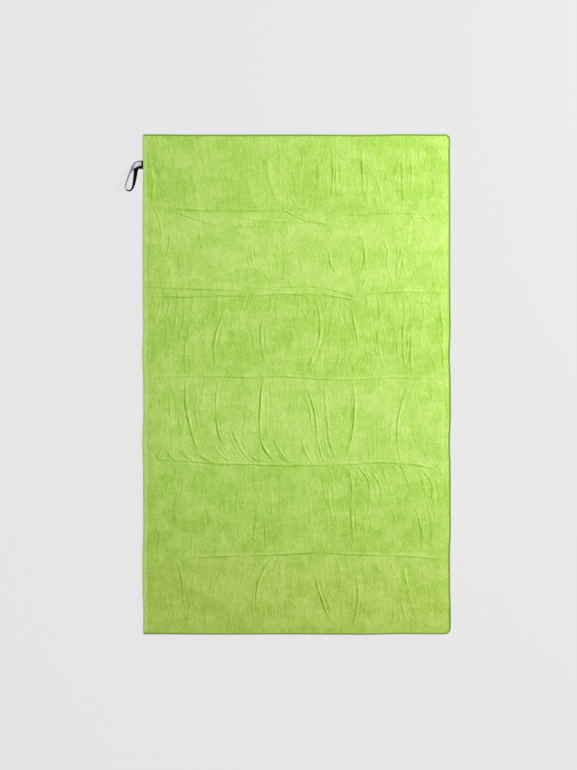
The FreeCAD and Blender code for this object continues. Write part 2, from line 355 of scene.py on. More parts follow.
class Relief:
    """Height of the cloth's underside above the surface, and how deep its troughs are, which the plush
    colour takes as painted shade, on a fine raster.
    """

    def __init__(self):
        self.xs = np.arange(LEFT, RIGHT + RASTER / 2, RASTER)
        self.ys = np.arange(BOTTOM, TOP + RASTER / 2, RASTER)
        self.x, self.y = np.meshgrid(self.xs, self.ys)
        self.shape = np.zeros_like(self.x)
        self.shade = np.zeros_like(self.x)

    def stroke(self, panel, wrinkle, width, height, trough=0.0):
        """Adds one tapered wrinkle, with a trough along its steeper side."""
        line, length, seed = wrinkle_line(panel, wrinkle)
        strength = wrinkle[-1]
        reach = width * REACH
        columns = (self.xs > line[:, 0].min() - reach) & (self.xs < line[:, 0].max() + reach)
        rows = (self.ys > line[:, 1].min() - reach) & (self.ys < line[:, 1].max() + reach)
        window = np.ix_(rows, columns)
        nearest, signed, along = measure_from(line, self.x[window], self.y[window])
        uneven = 1 + UNEVENNESS * smooth_noise(seed + 7, along * length, 0 * along, UNEVEN_SPAN, 1.0)
        taper = np.sqrt(np.clip(np.sin(math.pi * along), 0, 1)) * strength * uneven
        spread = np.where(signed > 0, LONG_SLOPE * width, width)
        crest = np.exp(-((signed / spread) ** 2)) * taper
        dip = np.exp(-(((signed + TROUGH_PLACE * width) / (TROUGH_WIDTH * width)) ** 2))
        dip = dip * np.exp(-((nearest / (TROUGH_LIMIT * width)) ** 4)) * taper
        self.shape[window] += height * (crest - trough * dip)
        # the trough is also kept, to paint shade into the cloth's colour there
        if trough > 0:
            self.shade[window] = np.maximum(self.shade[window], dip)

    def settle(self):
        """Works out the lift: the wrinkles over soft waves, coming down to the surface at the edges."""
        self.lift = REST_LIFT + self.shape
        for seed, across, along, height in SOFT_WAVES:
            self.lift += smooth_noise(seed, self.x, self.y, across, along) * height
        from_side = np.minimum(self.x - LEFT, RIGHT - self.x)
        from_end = np.minimum(self.y - BOTTOM, TOP - self.y)
        inward = smoothstep(np.minimum(from_side, from_end) / BORDER)
        self.lift *= BORDER_LIFT + (1 - BORDER_LIFT) * inward
        self.lift = np.clip(self.lift, LEAST_LIFT, MOST_LIFT)

    def sample(self, raster, x, y):
        """The raster's value at any place on the towel."""
        u = np.clip((np.asarray(x) - LEFT) / RASTER, 0, len(self.xs) - 1.001)
        v = np.clip((np.asarray(y) - BOTTOM) / RASTER, 0, len(self.ys) - 1.001)
        iu = u.astype(int)
        iv = v.astype(int)
        return blend_cells(raster, iu, iv, u - iu, v - iv)


def companion(wrinkle, rng):
    """A fainter, shorter wrinkle that runs beside another one which lies along the towel."""
    u0, v0, u1, v1, bow, strength = wrinkle
    first = rng.uniform(-0.05, 0.45)
    last = rng.uniform(0.55, 1.10)
    run_u = u1 - u0
    run_v = v1 - v0
    u0 += rng.uniform(4, 13) * MM * rng.choice((-1, 1)) / WIDTH
    return (u0 + run_u * first, v0 + run_v * first, u0 + run_u * last, v0 + run_v * last,
            bow + rng.normal(0, 0.02), strength * rng.uniform(0.25, 0.55))


def add_pleats(relief):
    """The chosen pleats, those along the towel with fainter companions."""
    rng = np.random.default_rng(9)
    for panel, wrinkles in PLEATS.items():
        for wrinkle in wrinkles:
            relief.stroke(panel, wrinkle, PLEAT_WIDTH, PLEAT_HEIGHT, PLEAT_TROUGH)
            lengthwise = abs(wrinkle[3] - wrinkle[1]) > abs(wrinkle[2] - wrinkle[0])
            for _ in range(COMPANIONS if lengthwise else 0):
                relief.stroke(panel, companion(wrinkle, rng), CRINKLE_WIDTH, PLEAT_HEIGHT, PLEAT_TROUGH)


def add_fans(relief):
    """Rows of small slanted pleats at the creases, each one a little different."""
    rng = np.random.default_rng(5)
    for panel, first, last, count, drop, lean in FANS:
        for across in np.linspace(first, last, count):
            across += rng.uniform(-0.016, 0.016)
            end_across = across + lean * rng.uniform(0.3, 2.2)
            end_down = drop * rng.uniform(0.4, 1.3)
            bow = rng.uniform(0, 0.2)
            strength = rng.uniform(0.15, 0.55)
            wrinkle = (across, 0.01, end_across, end_down, bow, strength)
            relief.stroke(panel, wrinkle, CRINKLE_WIDTH, PLEAT_HEIGHT, FAN_TROUGH)


def add_crinkles(relief):
    """Short shallow crinkles, more of them where the cloth was squeezed, mostly along the towel."""
    rng = np.random.default_rng(8)
    for panel, count in CRINKLES.items():
        for _ in range(count):
            across = rng.uniform(0.03, 0.97)
            down = rng.uniform(0.04, 0.80)
            end_across = across + rng.normal(0, 0.010)
            end_down = min(down + rng.uniform(0.10, 0.34), 0.97)
            bow = rng.normal(0, 0.05)
            strength = rng.uniform(0.15, 0.45)
            wrinkle = (across, down, end_across, end_down, bow, strength)
            relief.stroke(panel, wrinkle, CRINKLE_WIDTH, PLEAT_HEIGHT, PLEAT_TROUGH)


def make_relief():
    """Every wrinkle of the cloth, over its soft waves."""
    relief = Relief()
    add_pleats(relief)
    for panel, wrinkles in RIDGES.items():
        for wrinkle in wrinkles:
            relief.stroke(panel, wrinkle, RIDGE_WIDTH, RIDGE_HEIGHT)
    for panel, wrinkles in HOLLOWS.items():
        for wrinkle in wrinkles:
            relief.stroke(panel, wrinkle, HOLLOW_WIDTH, -HOLLOW_DEPTH)
    add_fans(relief)
    add_crinkles(relief)
    relief.settle()
    return relief


# ---------- laying pieces on the cloth

OUTLINE_WAVE = 1.5 * MM
SIDE_WAVE_SPAN = 75 * MM
END_WAVE_SPAN = 90 * MM
STEADY_NEAR = 25 * MM  # the outline stays true this near to the loop's root
STEADY_FADE = 60 * MM


def place(relief, flat):
    """Moves points from the flat cloth onto the relief, with the slightly uneven outline of a cut towel."""
    x, y, z = flat.T
    from_root = np.hypot(x - LEFT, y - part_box("bar_tack")[0].y)
    waving = smoothstep((from_root - STEADY_NEAR) / STEADY_FADE)
    dx = smooth_noise(21, x * 0, y, 1.0, SIDE_WAVE_SPAN) * OUTLINE_WAVE * waving
    dy = smooth_noise(22, x, y * 0, END_WAVE_SPAN, 1.0) * OUTLINE_WAVE * waving
    return np.column_stack([x + dx, y + dy, z + relief.sample(relief.lift, x, y)])


def make_object(name, points, faces, flat, materials, kinds=None):
    """A mesh object whose points remember a place on the flat cloth, thread or tape, for the materials."""
    mesh = bpy.data.meshes.new(name)
    mesh.from_pydata(points.tolist(), [], faces)
    mesh.update()
    attribute = mesh.attributes.new("flat", "FLOAT_VECTOR", "POINT")
    attribute.data.foreach_set("vector", flat.astype(np.float32).ravel())
    for material in materials:
        mesh.materials.append(material)
    if kinds is not None:
        mesh.polygons.foreach_set("material_index", np.asarray(kinds, dtype=np.int32))
    mesh.polygons.foreach_set("use_smooth", [True] * len(mesh.polygons))
    obj = bpy.data.objects.new(name, mesh)
    bpy.context.scene.collection.objects.link(obj)
    return obj


def tube_faces(rings, around):
    """Faces of a tube of rings, each of the same number of points, with closed ends."""
    faces = []
    for a in range(0, (rings - 1) * around, around):
        for i in range(around):
            j = (i + 1) % around
            faces.append((a + i, a + j, a + around + j, a + around + i))
    last = (rings - 1) * around
    faces.append(tuple(reversed(range(around))))
    faces.append(tuple(range(last, last + around)))
    return faces


def bend_at_fold(obj):
    """Bakes the piece's placement into its points."""
    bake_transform(obj)


# ---------- cloth

COLUMN = 1.6 * MM  # between columns of points
ROW = 2.8 * MM  # between rows of points
FINE_ROW = 1.2 * MM
FINE_HALF = 16 * MM  # rows are finer this near to a fold
CLOTH_INSET = EDGE_WIDTH / 2
HEM_ROLL = 1.2 * MM  # the cloth's left edge lies inside the turned hem
CORNER_SPAN = 30 * MM  # columns are squeezed over this width to follow the rounded corners


def even_steps(start, end, step):
    """Values from start to end, an even number of equal steps apart."""
    count = max(2, 2 * round(abs(end - start) / step / 2))
    return np.linspace(start, end, count + 1)


def right_side(y):
    """The cloth's right edge at each y, with its rounded corners."""
    right = RIGHT - CLOTH_INSET
    radius = CORNER_RADIUS - CLOTH_INSET
    from_corner = np.maximum(y - (TOP - CLOTH_INSET - radius), (BOTTOM + CLOTH_INSET + radius) - y)
    into = np.clip(from_corner, 0, radius)
    return right - radius + np.sqrt(radius ** 2 - into ** 2)


def cloth_grid(number):
    """The flat x and y of one length of cloth, rows from its upper to its lower end."""
    high = CUTS[number - 1] - (CLOTH_INSET if number == 1 else 0)
    low = CUTS[number] + (CLOTH_INSET if number == PANELS - 1 else 0)
    fold = FOLDS[number - 1]
    rows = np.concatenate([
        even_steps(high, fold + FINE_HALF, ROW),
        even_steps(fold + FINE_HALF, fold - FINE_HALF, FINE_ROW)[1:],
        even_steps(fold - FINE_HALF, low, ROW)[1:],
    ])
    columns = even_steps(LEFT + HEM_ROLL, RIGHT - CLOTH_INSET, COLUMN)
    x, y = np.meshgrid(columns, rows)
    inner = RIGHT - CLOTH_INSET - CORNER_SPAN
    squeeze = (right_side(y) - inner) / CORNER_SPAN
    return np.where(x > inner, inner + (x - inner) * squeeze, x), y


def grid_faces(rows, columns, first, flip):
    """Faces of a grid of points, facing down where flip is set."""
    faces = []
    for r in range(rows - 1):
        a = first + r * columns
        for c in range(columns - 1):
            face = (a + c, a + columns + c, a + columns + c + 1, a + c + 1)
            faces.append(face[::-1] if flip else face)
    return faces


def rim_of(rows, columns, first):
    """Indices round the border of a grid, starting at its first corner."""
    grid = first + np.arange(rows * columns).reshape(rows, columns)
    return np.concatenate([grid[0, :-1], grid[:-1, -1], grid[-1, :0:-1], grid[:0:-1, 0]]).tolist()


def normals_of(relief, x, y, up):
    """Surface directions from the relief itself, the same on both sides of a cut."""
    def slope(dx, dy):
        rise = relief.sample(relief.lift, x + dx, y + dy) - relief.sample(relief.lift, x - dx, y - dy)
        return rise / (2 * RASTER)

    normals = np.column_stack([-slope(RASTER, 0), -slope(0, RASTER), np.ones_like(x)])
    return normals / np.linalg.norm(normals, axis=1)[:, None] * up


def make_cloth(number, relief, materials):
    """One length of cloth: a fine upper face, an underside of half as many rows and columns, and walls."""
    x, y = cloth_grid(number)
    rows, columns = x.shape
    upper = np.column_stack([x.ravel(), y.ravel(), np.full(x.size, THICKNESS)])
    low_x = x[::2, ::2]
    low_y = y[::2, ::2]
    lower = np.column_stack([low_x.ravel(), low_y.ravel(), np.zeros(low_x.size)])
    flat = np.vstack([upper, lower])
    faces = grid_faces(rows, columns, 0, False)
    kinds = [0] * len(faces)  # 0 is the plush face, 1 the back and the walls
    faces += grid_faces(*low_x.shape, x.size, True)
    top_rim = rim_of(rows, columns, 0)
    low_rim = rim_of(*low_x.shape, x.size)
    for i, low in enumerate(low_rim):
        a, b, c = (top_rim[(2 * i + k) % len(top_rim)] for k in range(3))
        low_next = low_rim[(i + 1) % len(low_rim)]
        faces += [(low, a, b), (low, b, low_next), (low_next, b, c)]
    kinds += [1] * (len(faces) - len(kinds))
    obj = make_object("cloth_%d" % number, place(relief, flat), faces, flat, materials, kinds)
    # the troughs, where the plush colour is darkened as painted shade
    shade = obj.data.attributes.new("shade", "FLOAT", "POINT")
    shade.data.foreach_set("value", relief.sample(relief.shade, flat[:, 0], flat[:, 1]).astype(np.float32))
    normals = np.vstack([
        normals_of(relief, upper[:, 0], upper[:, 1], 1.0),
        normals_of(relief, lower[:, 0], lower[:, 1], -1.0),
    ])
    obj.data.normals_split_custom_set_from_vertices(normals.tolist())
    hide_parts("cloth_panel_%d" % number, "cloth_panel_%d" % (number + 1))
    return obj


# ---------- turned hem and its stitches

HEM_STEP = 1.0 * MM
HEM_SINK = 0.3 * MM  # how far the hem's lower side reaches into the cloth
HEM_LOOSENESS = 0.2 * MM
STITCH_LENGTH = 3.0 * MM
STITCH_GAP = 0.5 * MM
STITCH_RADIUS = 0.36 * MM
STITCH_POINTS = 7
STITCH_SINK = 0.35 * MM  # how far a stitch's ends are sunk, and how far its middle rises from there
STITCH_RISE = 0.62 * MM
PUCKER = 0.20 * MM  # how far the stitches pull the hem down
PUCKER_REACH = 1.8 * MM
PUCKER_WAVE = 0.6
THREAD_SIDES = 6
THREAD_TAPER = 0.55  # radius of a thread's ends, as a share


def hem_profile():
    """Closed outline of the turned hem in section: distance from the towel's edge, and height."""
    width = HEM_INNER - LEFT
    roll = HEM_TOP / 2
    under = THICKNESS - HEM_SINK
    points = []
    for angle in np.linspace(-0.5, 0.5, 9) * math.pi:
        points.append((roll * (1 - math.cos(angle)), roll + roll * math.sin(angle)))
    points += [(width * share, HEM_TOP) for share in (0.36, 0.5, 0.64, 0.78)]
    points += [(width * 0.93, HEM_TOP - 0.15 * MM), (width, HEM_TOP - 0.6 * MM), (width, under)]
    points += [(width * 0.5, under), (roll, under), (roll * 1.1, 0.05 * MM)]
    return np.array(points)


def hem_span(number):
    """Highest and lowest y of one length of hem."""
    return min(CUTS[number - 1], TOP - EDGE_WIDTH), max(CUTS[number], BOTTOM + EDGE_WIDTH)


def make_hem(number, relief, material):
    """One length of the turned hem, pulled down along its stitches."""
    profile = hem_profile()
    high, low = hem_span(number)
    along = np.linspace(high, low, round((high - low) / HEM_STEP) + 1)
    around = len(profile)
    x = np.tile(LEFT + profile[:, 0], len(along))
    y = np.repeat(along, around)
    z = np.tile(profile[:, 1], len(along))
    on_face = np.tile(profile[:, 1] > HEM_TOP * 0.7, len(along))
    near_thread = np.exp(-(((x - HEM_THREAD_X) / PUCKER_REACH) ** 2))
    waves = np.cos(2 * math.pi * y / STITCH_LENGTH)
    loose = smooth_noise(31, x, y, 4 * MM, 14 * MM) * HEM_LOOSENESS
    z = z + on_face * (loose - near_thread * PUCKER * (1 + PUCKER_WAVE * waves))
    flat = np.column_stack([x, y, z])
    faces = [face[::-1] for face in tube_faces(len(along), around)]
    obj = make_object("side_hem_length_%d" % number, place(relief, flat), faces, flat, [material])
    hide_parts("side_hem_%d" % number, "side_hem_%d" % (number + 1))
    return obj


def strand(centres, radius):
    """Points and faces of one thread, a closed tube with tapered ends along centres."""
    centres = np.asarray(centres)
    count = len(centres)
    tangents = np.gradient(centres, axis=0)
    tangents /= np.linalg.norm(tangents, axis=1)[:, None]
    across = np.cross(tangents, np.array([0.0, 0.0, 1.0]))
    lengths = np.linalg.norm(across, axis=1)[:, None]
    across = np.where(lengths > 0.05, across / np.maximum(lengths, 1e-9), np.array([1.0, 0.0, 0.0]))
    upward = np.cross(across, tangents)
    end = np.minimum(np.arange(count), np.arange(count)[::-1])
    radii = radius * np.where(end == 0, THREAD_TAPER, 1.0)
    rings = []
    for angle in np.arange(THREAD_SIDES) * 2 * math.pi / THREAD_SIDES:
        rings.append(centres + radii[:, None] * (across * math.cos(angle) + upward * math.sin(angle)))
    return np.stack(rings, axis=1).reshape(-1, 3), tube_faces(count, THREAD_SIDES)


def join_strands(strands):
    """Points and faces of all the threads as one mesh."""
    points = []
    faces = []
    first = 0
    for strand_points, strand_faces in strands:
        points.append(strand_points)
        faces += [tuple(first + i for i in face) for face in strand_faces]
        first += len(strand_points)
    return np.vstack(points), faces


def make_hem_stitches(number, relief, material):
    """Lockstitches: short raised threads that dip into the hem at both ends."""
    high, low = hem_span(number)
    t = np.linspace(0, 1, STITCH_POINTS)
    x = np.full(STITCH_POINTS, HEM_THREAD_X)
    z = HEM_TOP - PUCKER - STITCH_SINK + np.sin(math.pi * t) * STITCH_RISE
    strands = []
    for i in range(int((high - low) / STITCH_LENGTH)):
        y0 = high - i * STITCH_LENGTH - STITCH_GAP / 2
        y1 = y0 - STITCH_LENGTH + STITCH_GAP
        centres = np.column_stack([x, y0 + (y1 - y0) * t, z])
        strands.append(strand(centres, STITCH_RADIUS))
    flat, faces = join_strands(strands)
    obj = make_object("hem_stitches_%d" % number, place(relief, flat), faces, flat, [material])
    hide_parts("hem_stitching_%d" % number, "hem_stitching_%d" % (number + 1))
    return obj


# ---------- overlocked edge

WRAP_PITCH = 1.6 * MM
WRAP_STEPS = 5
WRAP_RELIEF = 0.28 * MM
WRAP_SLANT = 0.5  # of a turn, to each side of the edge's middle
WRAP_ROUNDNESS = 0.6  # below 1, the ridges are broader than the gaps between them
EDGE_SQUARENESS = 0.8  # below 1, the section is squarer than an ellipse
EDGE_AROUND = 10


def edge_path(number):
    """The line along the middle of the overlock: points and outward directions, on the flat cloth."""
    inset = EDGE_WIDTH / 2
    right = RIGHT - inset
    radius = CORNER_RADIUS - inset
    step = WRAP_PITCH / WRAP_STEPS
    points = []
    outward = []

    def line(start, end, direction):
        count = round(math.dist(start, end) / step)
        for t in np.linspace(0, 1, count, endpoint=False):
            points.append((start[0] + (end[0] - start[0]) * t, start[1] + (end[1] - start[1]) * t))
            outward.append(direction)

    def corner(centre, first, last):
        count = round(abs(last - first) * radius / step)
        for angle in np.linspace(first, last, count, endpoint=False):
            points.append((centre[0] + radius * math.cos(angle), centre[1] + radius * math.sin(angle)))
            outward.append((math.cos(angle), math.sin(angle)))

    high = CUTS[number - 1]
    low = CUTS[number]
    if number == 1:
        line((LEFT + inset / 2, TOP - inset), (right - radius, TOP - inset), (0, 1))
        corner((right - radius, TOP - inset - radius), math.pi / 2, 0)
        high = TOP - inset - radius
    if number == PANELS - 1:
        low = BOTTOM + inset + radius
    line((right, high), (right, low), (1, 0))
    if number == PANELS - 1:
        corner((right - radius, low), 0, -math.pi / 2)
        line((right - radius, BOTTOM + inset), (LEFT + inset / 2, BOTTOM + inset), (0, -1))
    else:
        points.append((right, low))
        outward.append((1, 0))
    return np.array(points), np.array(outward)


def make_edge(number, relief, material):
    """The overlock: thread wrapped slantwise over the raw edge, each turn a rounded ridge."""
    path, outward = edge_path(number)
    rings = len(path)
    angles = np.arange(EDGE_AROUND) * 2 * math.pi / EDGE_AROUND
    cosine = np.cos(angles)
    sine = np.sin(angles)
    turn = np.arange(rings)[:, None] / WRAP_STEPS + cosine[None, :] * WRAP_SLANT
    ridge = np.abs(np.sin(math.pi * turn)) ** WRAP_ROUNDNESS
    grow = (ridge - 1.0) * WRAP_RELIEF
    half_width = EDGE_WIDTH / 2
    half_height = EDGE_TOP / 2
    out = np.sign(cosine) * np.abs(cosine) ** EDGE_SQUARENESS * (half_width + grow)
    up = np.sign(sine) * np.abs(sine) ** EDGE_SQUARENESS * (half_height + grow)
    x = path[:, 0][:, None] + outward[:, 0][:, None] * out
    y = path[:, 1][:, None] + outward[:, 1][:, None] * out
    flat = np.column_stack([x.ravel(), y.ravel(), (half_height + up).ravel()])
    on_thread = np.column_stack([turn.ravel() * WRAP_PITCH, np.tile(angles, rings) * MM, ridge.ravel()])
    faces = tube_faces(rings, EDGE_AROUND)
    obj = make_object("overlock_%d" % number, place(relief, flat), faces, on_thread, [material])
    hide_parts("edge_stitching_%d" % number, "edge_stitching_%d" % (number + 1))
    return obj


# ---------- hanging loop and bar tack

TAPE_WIDTH = 15 * MM
TAPE_THICKNESS = 1.0 * MM
TAPE_IN_HEM = 7 * MM
LIFT_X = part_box("loop_tape_ends")[0].x
LOOP_STATIONS = 180
END_STATIONS = 8
TAPE_MIDDLE = 0.82  # thickness of the tape between its beaded selvedges, as a share

# The loop's middle line in millimetres, as in the CAD part: x, y, lean of the outer face, lowest edge
LOOP_ROUTE = [
    (LIFT_X / MM, 574, 90, 2.1), (-408, 573.9, 90, 2.1), (-414.5, 571.9, 85, 2.1),
    (-423, 565, 54, 1.6), (-431, 554, 24, 0.5), (-437.5, 539.5, 14, 0.3),
    (-442.5, 525, 11, 0.3), (-444.8, 513, 8, 0.3), (-441.5, 505, -8, 0.3),
    (-434.5, 503, -16, 0.3), (-428, 508, -20, 0.3), (-424, 518, -27, 0.3),
    (-421, 533, -35, 0.3), (-419.2, 546, -42, 0.3), (-418.2, 555, -50, 0.3),
    (-415.8, 562.5, -66, 0.3), (-411.6, 566.3, -84, 0.5), (-408, 567, -90, 0.8),
    (LIFT_X / MM, 567, -90, 0.9),
]


def spline(knots, values, at):
    """A natural cubic spline through the values, read at other places."""
    gaps = np.diff(knots)
    slopes = np.diff(values) / gaps
    system = np.diag(np.concatenate([[1], 2 * (gaps[:-1] + gaps[1:]), [1]]))
    system += np.diag(np.append(gaps[:-1], 0), -1) + np.diag(np.append(0, gaps[1:]), 1)
    bend = np.linalg.solve(system, np.concatenate([[0], 6 * np.diff(slopes), [0]]))
    i = np.clip(np.searchsorted(knots, at) - 1, 0, len(knots) - 2)
    h = gaps[i]
    a = (knots[i + 1] - at) / h
    b = (at - knots[i]) / h
    cubic = ((a ** 3 - a) * bend[i] + (b ** 3 - b) * bend[i + 1]) * h * h / 6
    return a * values[i] + b * values[i + 1] + cubic


def tape_profile():
    """Section of the tape, across and through: its outer face, an edge, its inner face and an edge."""
    half = TAPE_WIDTH / 2
    thick = TAPE_THICKNESS / 2
    across = np.linspace(-1, 1, 11)
    bead = TAPE_MIDDLE + (1 - TAPE_MIDDLE) * np.abs(across) ** 6
    top = [(half * a * 0.97, thick * b) for a, b in zip(across, bead)]
    low = [(-a, -f) for a, f in top]
    return np.array(top + [(half, 0.0)] + low + [(-half, 0.0)])


def loop_frames():
    """Middle, across and face directions of the tape, from one end in the hem round to the other."""
    x, y, lean, low = (np.array(values) for values in zip(*LOOP_ROUTE))
    steps = np.concatenate([[0], np.cumsum(np.hypot(np.diff(x), np.diff(y)))])
    at = np.linspace(0, steps[-1], LOOP_STATIONS)
    px = spline(steps, x, at) * MM
    py = spline(steps, y, at) * MM
    angle = np.radians(np.clip(spline(steps, lean, at), -90, 90))
    lowest = spline(steps, low, at) * MM
    along = np.column_stack([np.gradient(px), np.gradient(py)])
    along /= np.linalg.norm(along, axis=1)[:, None]
    along[0] = (-1, 0)
    along[-1] = (1, 0)
    outward = np.column_stack([along[:, 1], -along[:, 0], np.zeros(len(at))])
    up = np.array([0.0, 0.0, 1.0])
    face = outward * np.cos(angle)[:, None] + up * np.sin(angle)[:, None]
    across = up * np.cos(angle)[:, None] - outward * np.sin(angle)[:, None]
    half_height = np.abs(across[:, 2]) * TAPE_WIDTH / 2 + np.abs(face[:, 2]) * TAPE_THICKNESS / 2
    middle = np.column_stack([px, py, lowest + half_height])
    inside = np.linspace(TAPE_IN_HEM + LEFT - LIFT_X, 0, END_STATIONS, endpoint=False)
    start = middle[0] + np.outer(inside, [1, 0, 0])
    end = middle[-1] + np.outer(inside[::-1], [1, 0, 0])
    middle = np.vstack([start, middle, end])
    sewn_in = ((END_STATIONS, END_STATIONS), (0, 0))
    return middle, np.pad(across, sewn_in, mode="edge"), np.pad(face, sewn_in, mode="edge")


def make_loop(materials):
    """The whole tape, from one end in the hem, round the free loop, to the other end."""
    middle, across, face = loop_frames()
    profile = tape_profile()
    around = len(profile)
    run = np.concatenate([[0], np.cumsum(np.linalg.norm(np.diff(middle, axis=0), axis=1))])
    points = []
    flat = []
    for i in range(len(middle)):
        points.append(middle[i] + np.outer(profile[:, 0], across[i]) + np.outer(profile[:, 1], face[i]))
        flat.append(np.column_stack([np.full(around, run[i]), profile[:, 0], profile[:, 1]]))
    faces = tube_faces(len(middle), around)
    side = (around - 2) // 2
    # 0 is the outer face, 1 the inner face and 2 an edge
    ring_kinds = [0] * (side - 1) + [2, 2] + [1] * (side - 1) + [2, 2]
    kinds = ring_kinds * (len(middle) - 1) + [2, 2]
    obj = make_object("hanging_loop_tape", np.vstack(points), faces, np.vstack(flat), materials, kinds)
    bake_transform(obj)
    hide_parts("hanging_loop", "loop_tape_ends")


TACK_PITCH = 0.42 * MM
TACK_RADIUS = 0.27 * MM
TACK_HEIGHT = 0.5 * MM  # of the CAD part's bar tack, over the upper tape end
TACK_POINTS = 9
TACK_SINK = 0.05 * MM
TACK_ARCH = 0.34 * MM
TACK_BITE = 1.0 * MM  # how far the stitches reach over the hem's rolled edge


def make_bar_tack(material):
    """Satin stitches side by side over the tape ends, each arched from side to side."""
    low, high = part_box("bar_tack")
    upper_edge = LOOP_ROUTE[0][1] * MM - TAPE_WIDTH / 2
    t = np.linspace(0, 1, TACK_POINTS)
    x = low.x + TACK_RADIUS + (high.x + TACK_BITE - low.x - 2 * TACK_RADIUS) * t
    arch = np.sqrt(np.sin(math.pi * np.clip(t, 0.02, 0.98)))
    rng = np.random.default_rng(41)
    strands = []
    for y in np.arange(low.y + TACK_RADIUS, high.y, TACK_PITCH):
        base = high.z - TACK_HEIGHT if y > upper_edge else low.z
        slant = TACK_PITCH / 2 + rng.uniform(-0.15, 0.15) * MM
        rise = TACK_ARCH + rng.uniform(-0.03, 0.03) * MM
        z = base - TACK_SINK + arch * rise + (HEM_TOP - base) * t ** 3
        strands.append(strand(np.column_stack([x, y + slant * (t - 0.5), z]), TACK_RADIUS))
    points, faces = join_strands(strands)
    obj = make_object("bar_tack_stitches", points, faces, points, [material])
    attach(obj, "panel_1")
    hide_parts("bar_tack")


# ---------- materials

def linear(red, green, blue):
    """The shader's colour for screen values from 0 to 255, by the usual sRGB formula."""
    return tuple((v / 255 / 12.92 if v < 10 else ((v / 255 + 0.055) / 1.055) ** 2.4)
                 for v in (red, green, blue)) + (1.0,)


class Look:
    """Builds one material's nodes. The flat attribute gives places on the uncreased cloth, or on the
    overlock's thread or the tape, in metres."""

    def __init__(self, name):
        self.material = bpy.data.materials.new(name)
        self.material.use_nodes = True
        self.tree = self.material.node_tree
        self.surface = self.tree.nodes["Principled BSDF"]
        self.flat = self.add("ShaderNodeAttribute", attribute_name="flat").outputs["Vector"]

    def add(self, kind, values=None, **settings):
        """A node with its settings. Values are numbers for its sockets, or other nodes' outputs to link."""
        node = self.tree.nodes.new(kind)
        for key, value in settings.items():
            setattr(node, key, value)
        for key, value in (values or {}).items():
            if isinstance(value, bpy.types.NodeSocket):
                self.tree.links.new(value, node.inputs[key])
            else:
                node.inputs[key].default_value = value
        return node

    def noise(self, across, along, detail, seed):
        """Noise whose features are about across by along in size, in metres."""
        mapping = self.add("ShaderNodeMapping", {
            "Vector": self.flat, "Location": (seed, seed * 2, 0),
            "Scale": (1 / across, 1 / along, 1 / across)})
        noise = self.add("ShaderNodeTexNoise", {
            "Vector": mapping.outputs["Vector"], "Scale": 1.0, "Detail": detail, "Roughness": 0.55})
        return noise.outputs["Fac"]

    def math(self, operation, a, b=0.0):
        """One step of arithmetic, on b as well where the operation needs it."""
        return self.add("ShaderNodeMath", {0: a, 1: b}, operation=operation).outputs["Value"]

    def sum_of(self, start, parts):
        """start plus each signal, centred on 0 and scaled."""
        total = None
        for signal, weight in parts:
            part = self.math("MULTIPLY", self.math("SUBTRACT", signal, 0.5), weight)
            total = self.math("ADD", part, start if total is None else total)
        return total

    def ramp(self, signal, stops):
        """The colour at a signal from 0 to 1, between stops of position and colour."""
        node = self.add("ShaderNodeValToRGB", {"Fac": signal})
        elements = node.color_ramp.elements
        while len(elements) < len(stops):
            elements.new(0.5)
        for element, (position, colour) in zip(elements, stops):
            element.position = position
            element.color = colour
        return node.outputs["Color"]

    def step(self, signal, low, high):
        """0 below low, 1 above high, and smooth between them."""
        node = self.add("ShaderNodeMapRange", {
            "Value": signal, "From Min": low, "From Max": high}, interpolation_type="SMOOTHSTEP")
        return node.outputs["Result"]

    def mix(self, share, first, second):
        """The first colour where share is 0, the second where it is 1."""
        node = self.add("ShaderNodeMix", data_type="RGBA")
        for socket, value in (("Factor_Float", share), ("A_Color", first), ("B_Color", second)):
            target = next(s for s in node.inputs if s.identifier == socket)
            self.tree.links.new(value, target)
        return next(s for s in node.outputs if s.identifier == "Result_Color")

    def component(self, axis):
        """The X, Y or Z of the flat attribute."""
        return self.add("ShaderNodeSeparateXYZ", {"Vector": self.flat}).outputs[axis]

    def bump(self, signal, distance):
        """Fine relief: distance is how high a signal of 1 stands, in metres."""
        node = self.add("ShaderNodeBump", {"Height": signal, "Distance": distance, "Strength": 1.0})
        self.tree.links.new(node.outputs["Normal"], self.surface.inputs["Normal"])

    def finish(self, colour, **values):
        """Links the colour, and sets the surface's other values by name."""
        self.tree.links.new(colour, self.surface.inputs["Base Color"])
        for key, value in values.items():
            self.surface.inputs[key.replace("_", " ")].default_value = value
        return self.material


PILE_CONTRAST = 0.10  # storage presses the pile the other way on every second panel, which looks darker
PILE_TURN = 4 * MM  # half the distance over which it turns, at a crease
PAINTED_TROUGH_SHADE = 0.24  # painted shade: how much darker the pile is painted in a pleat's trough
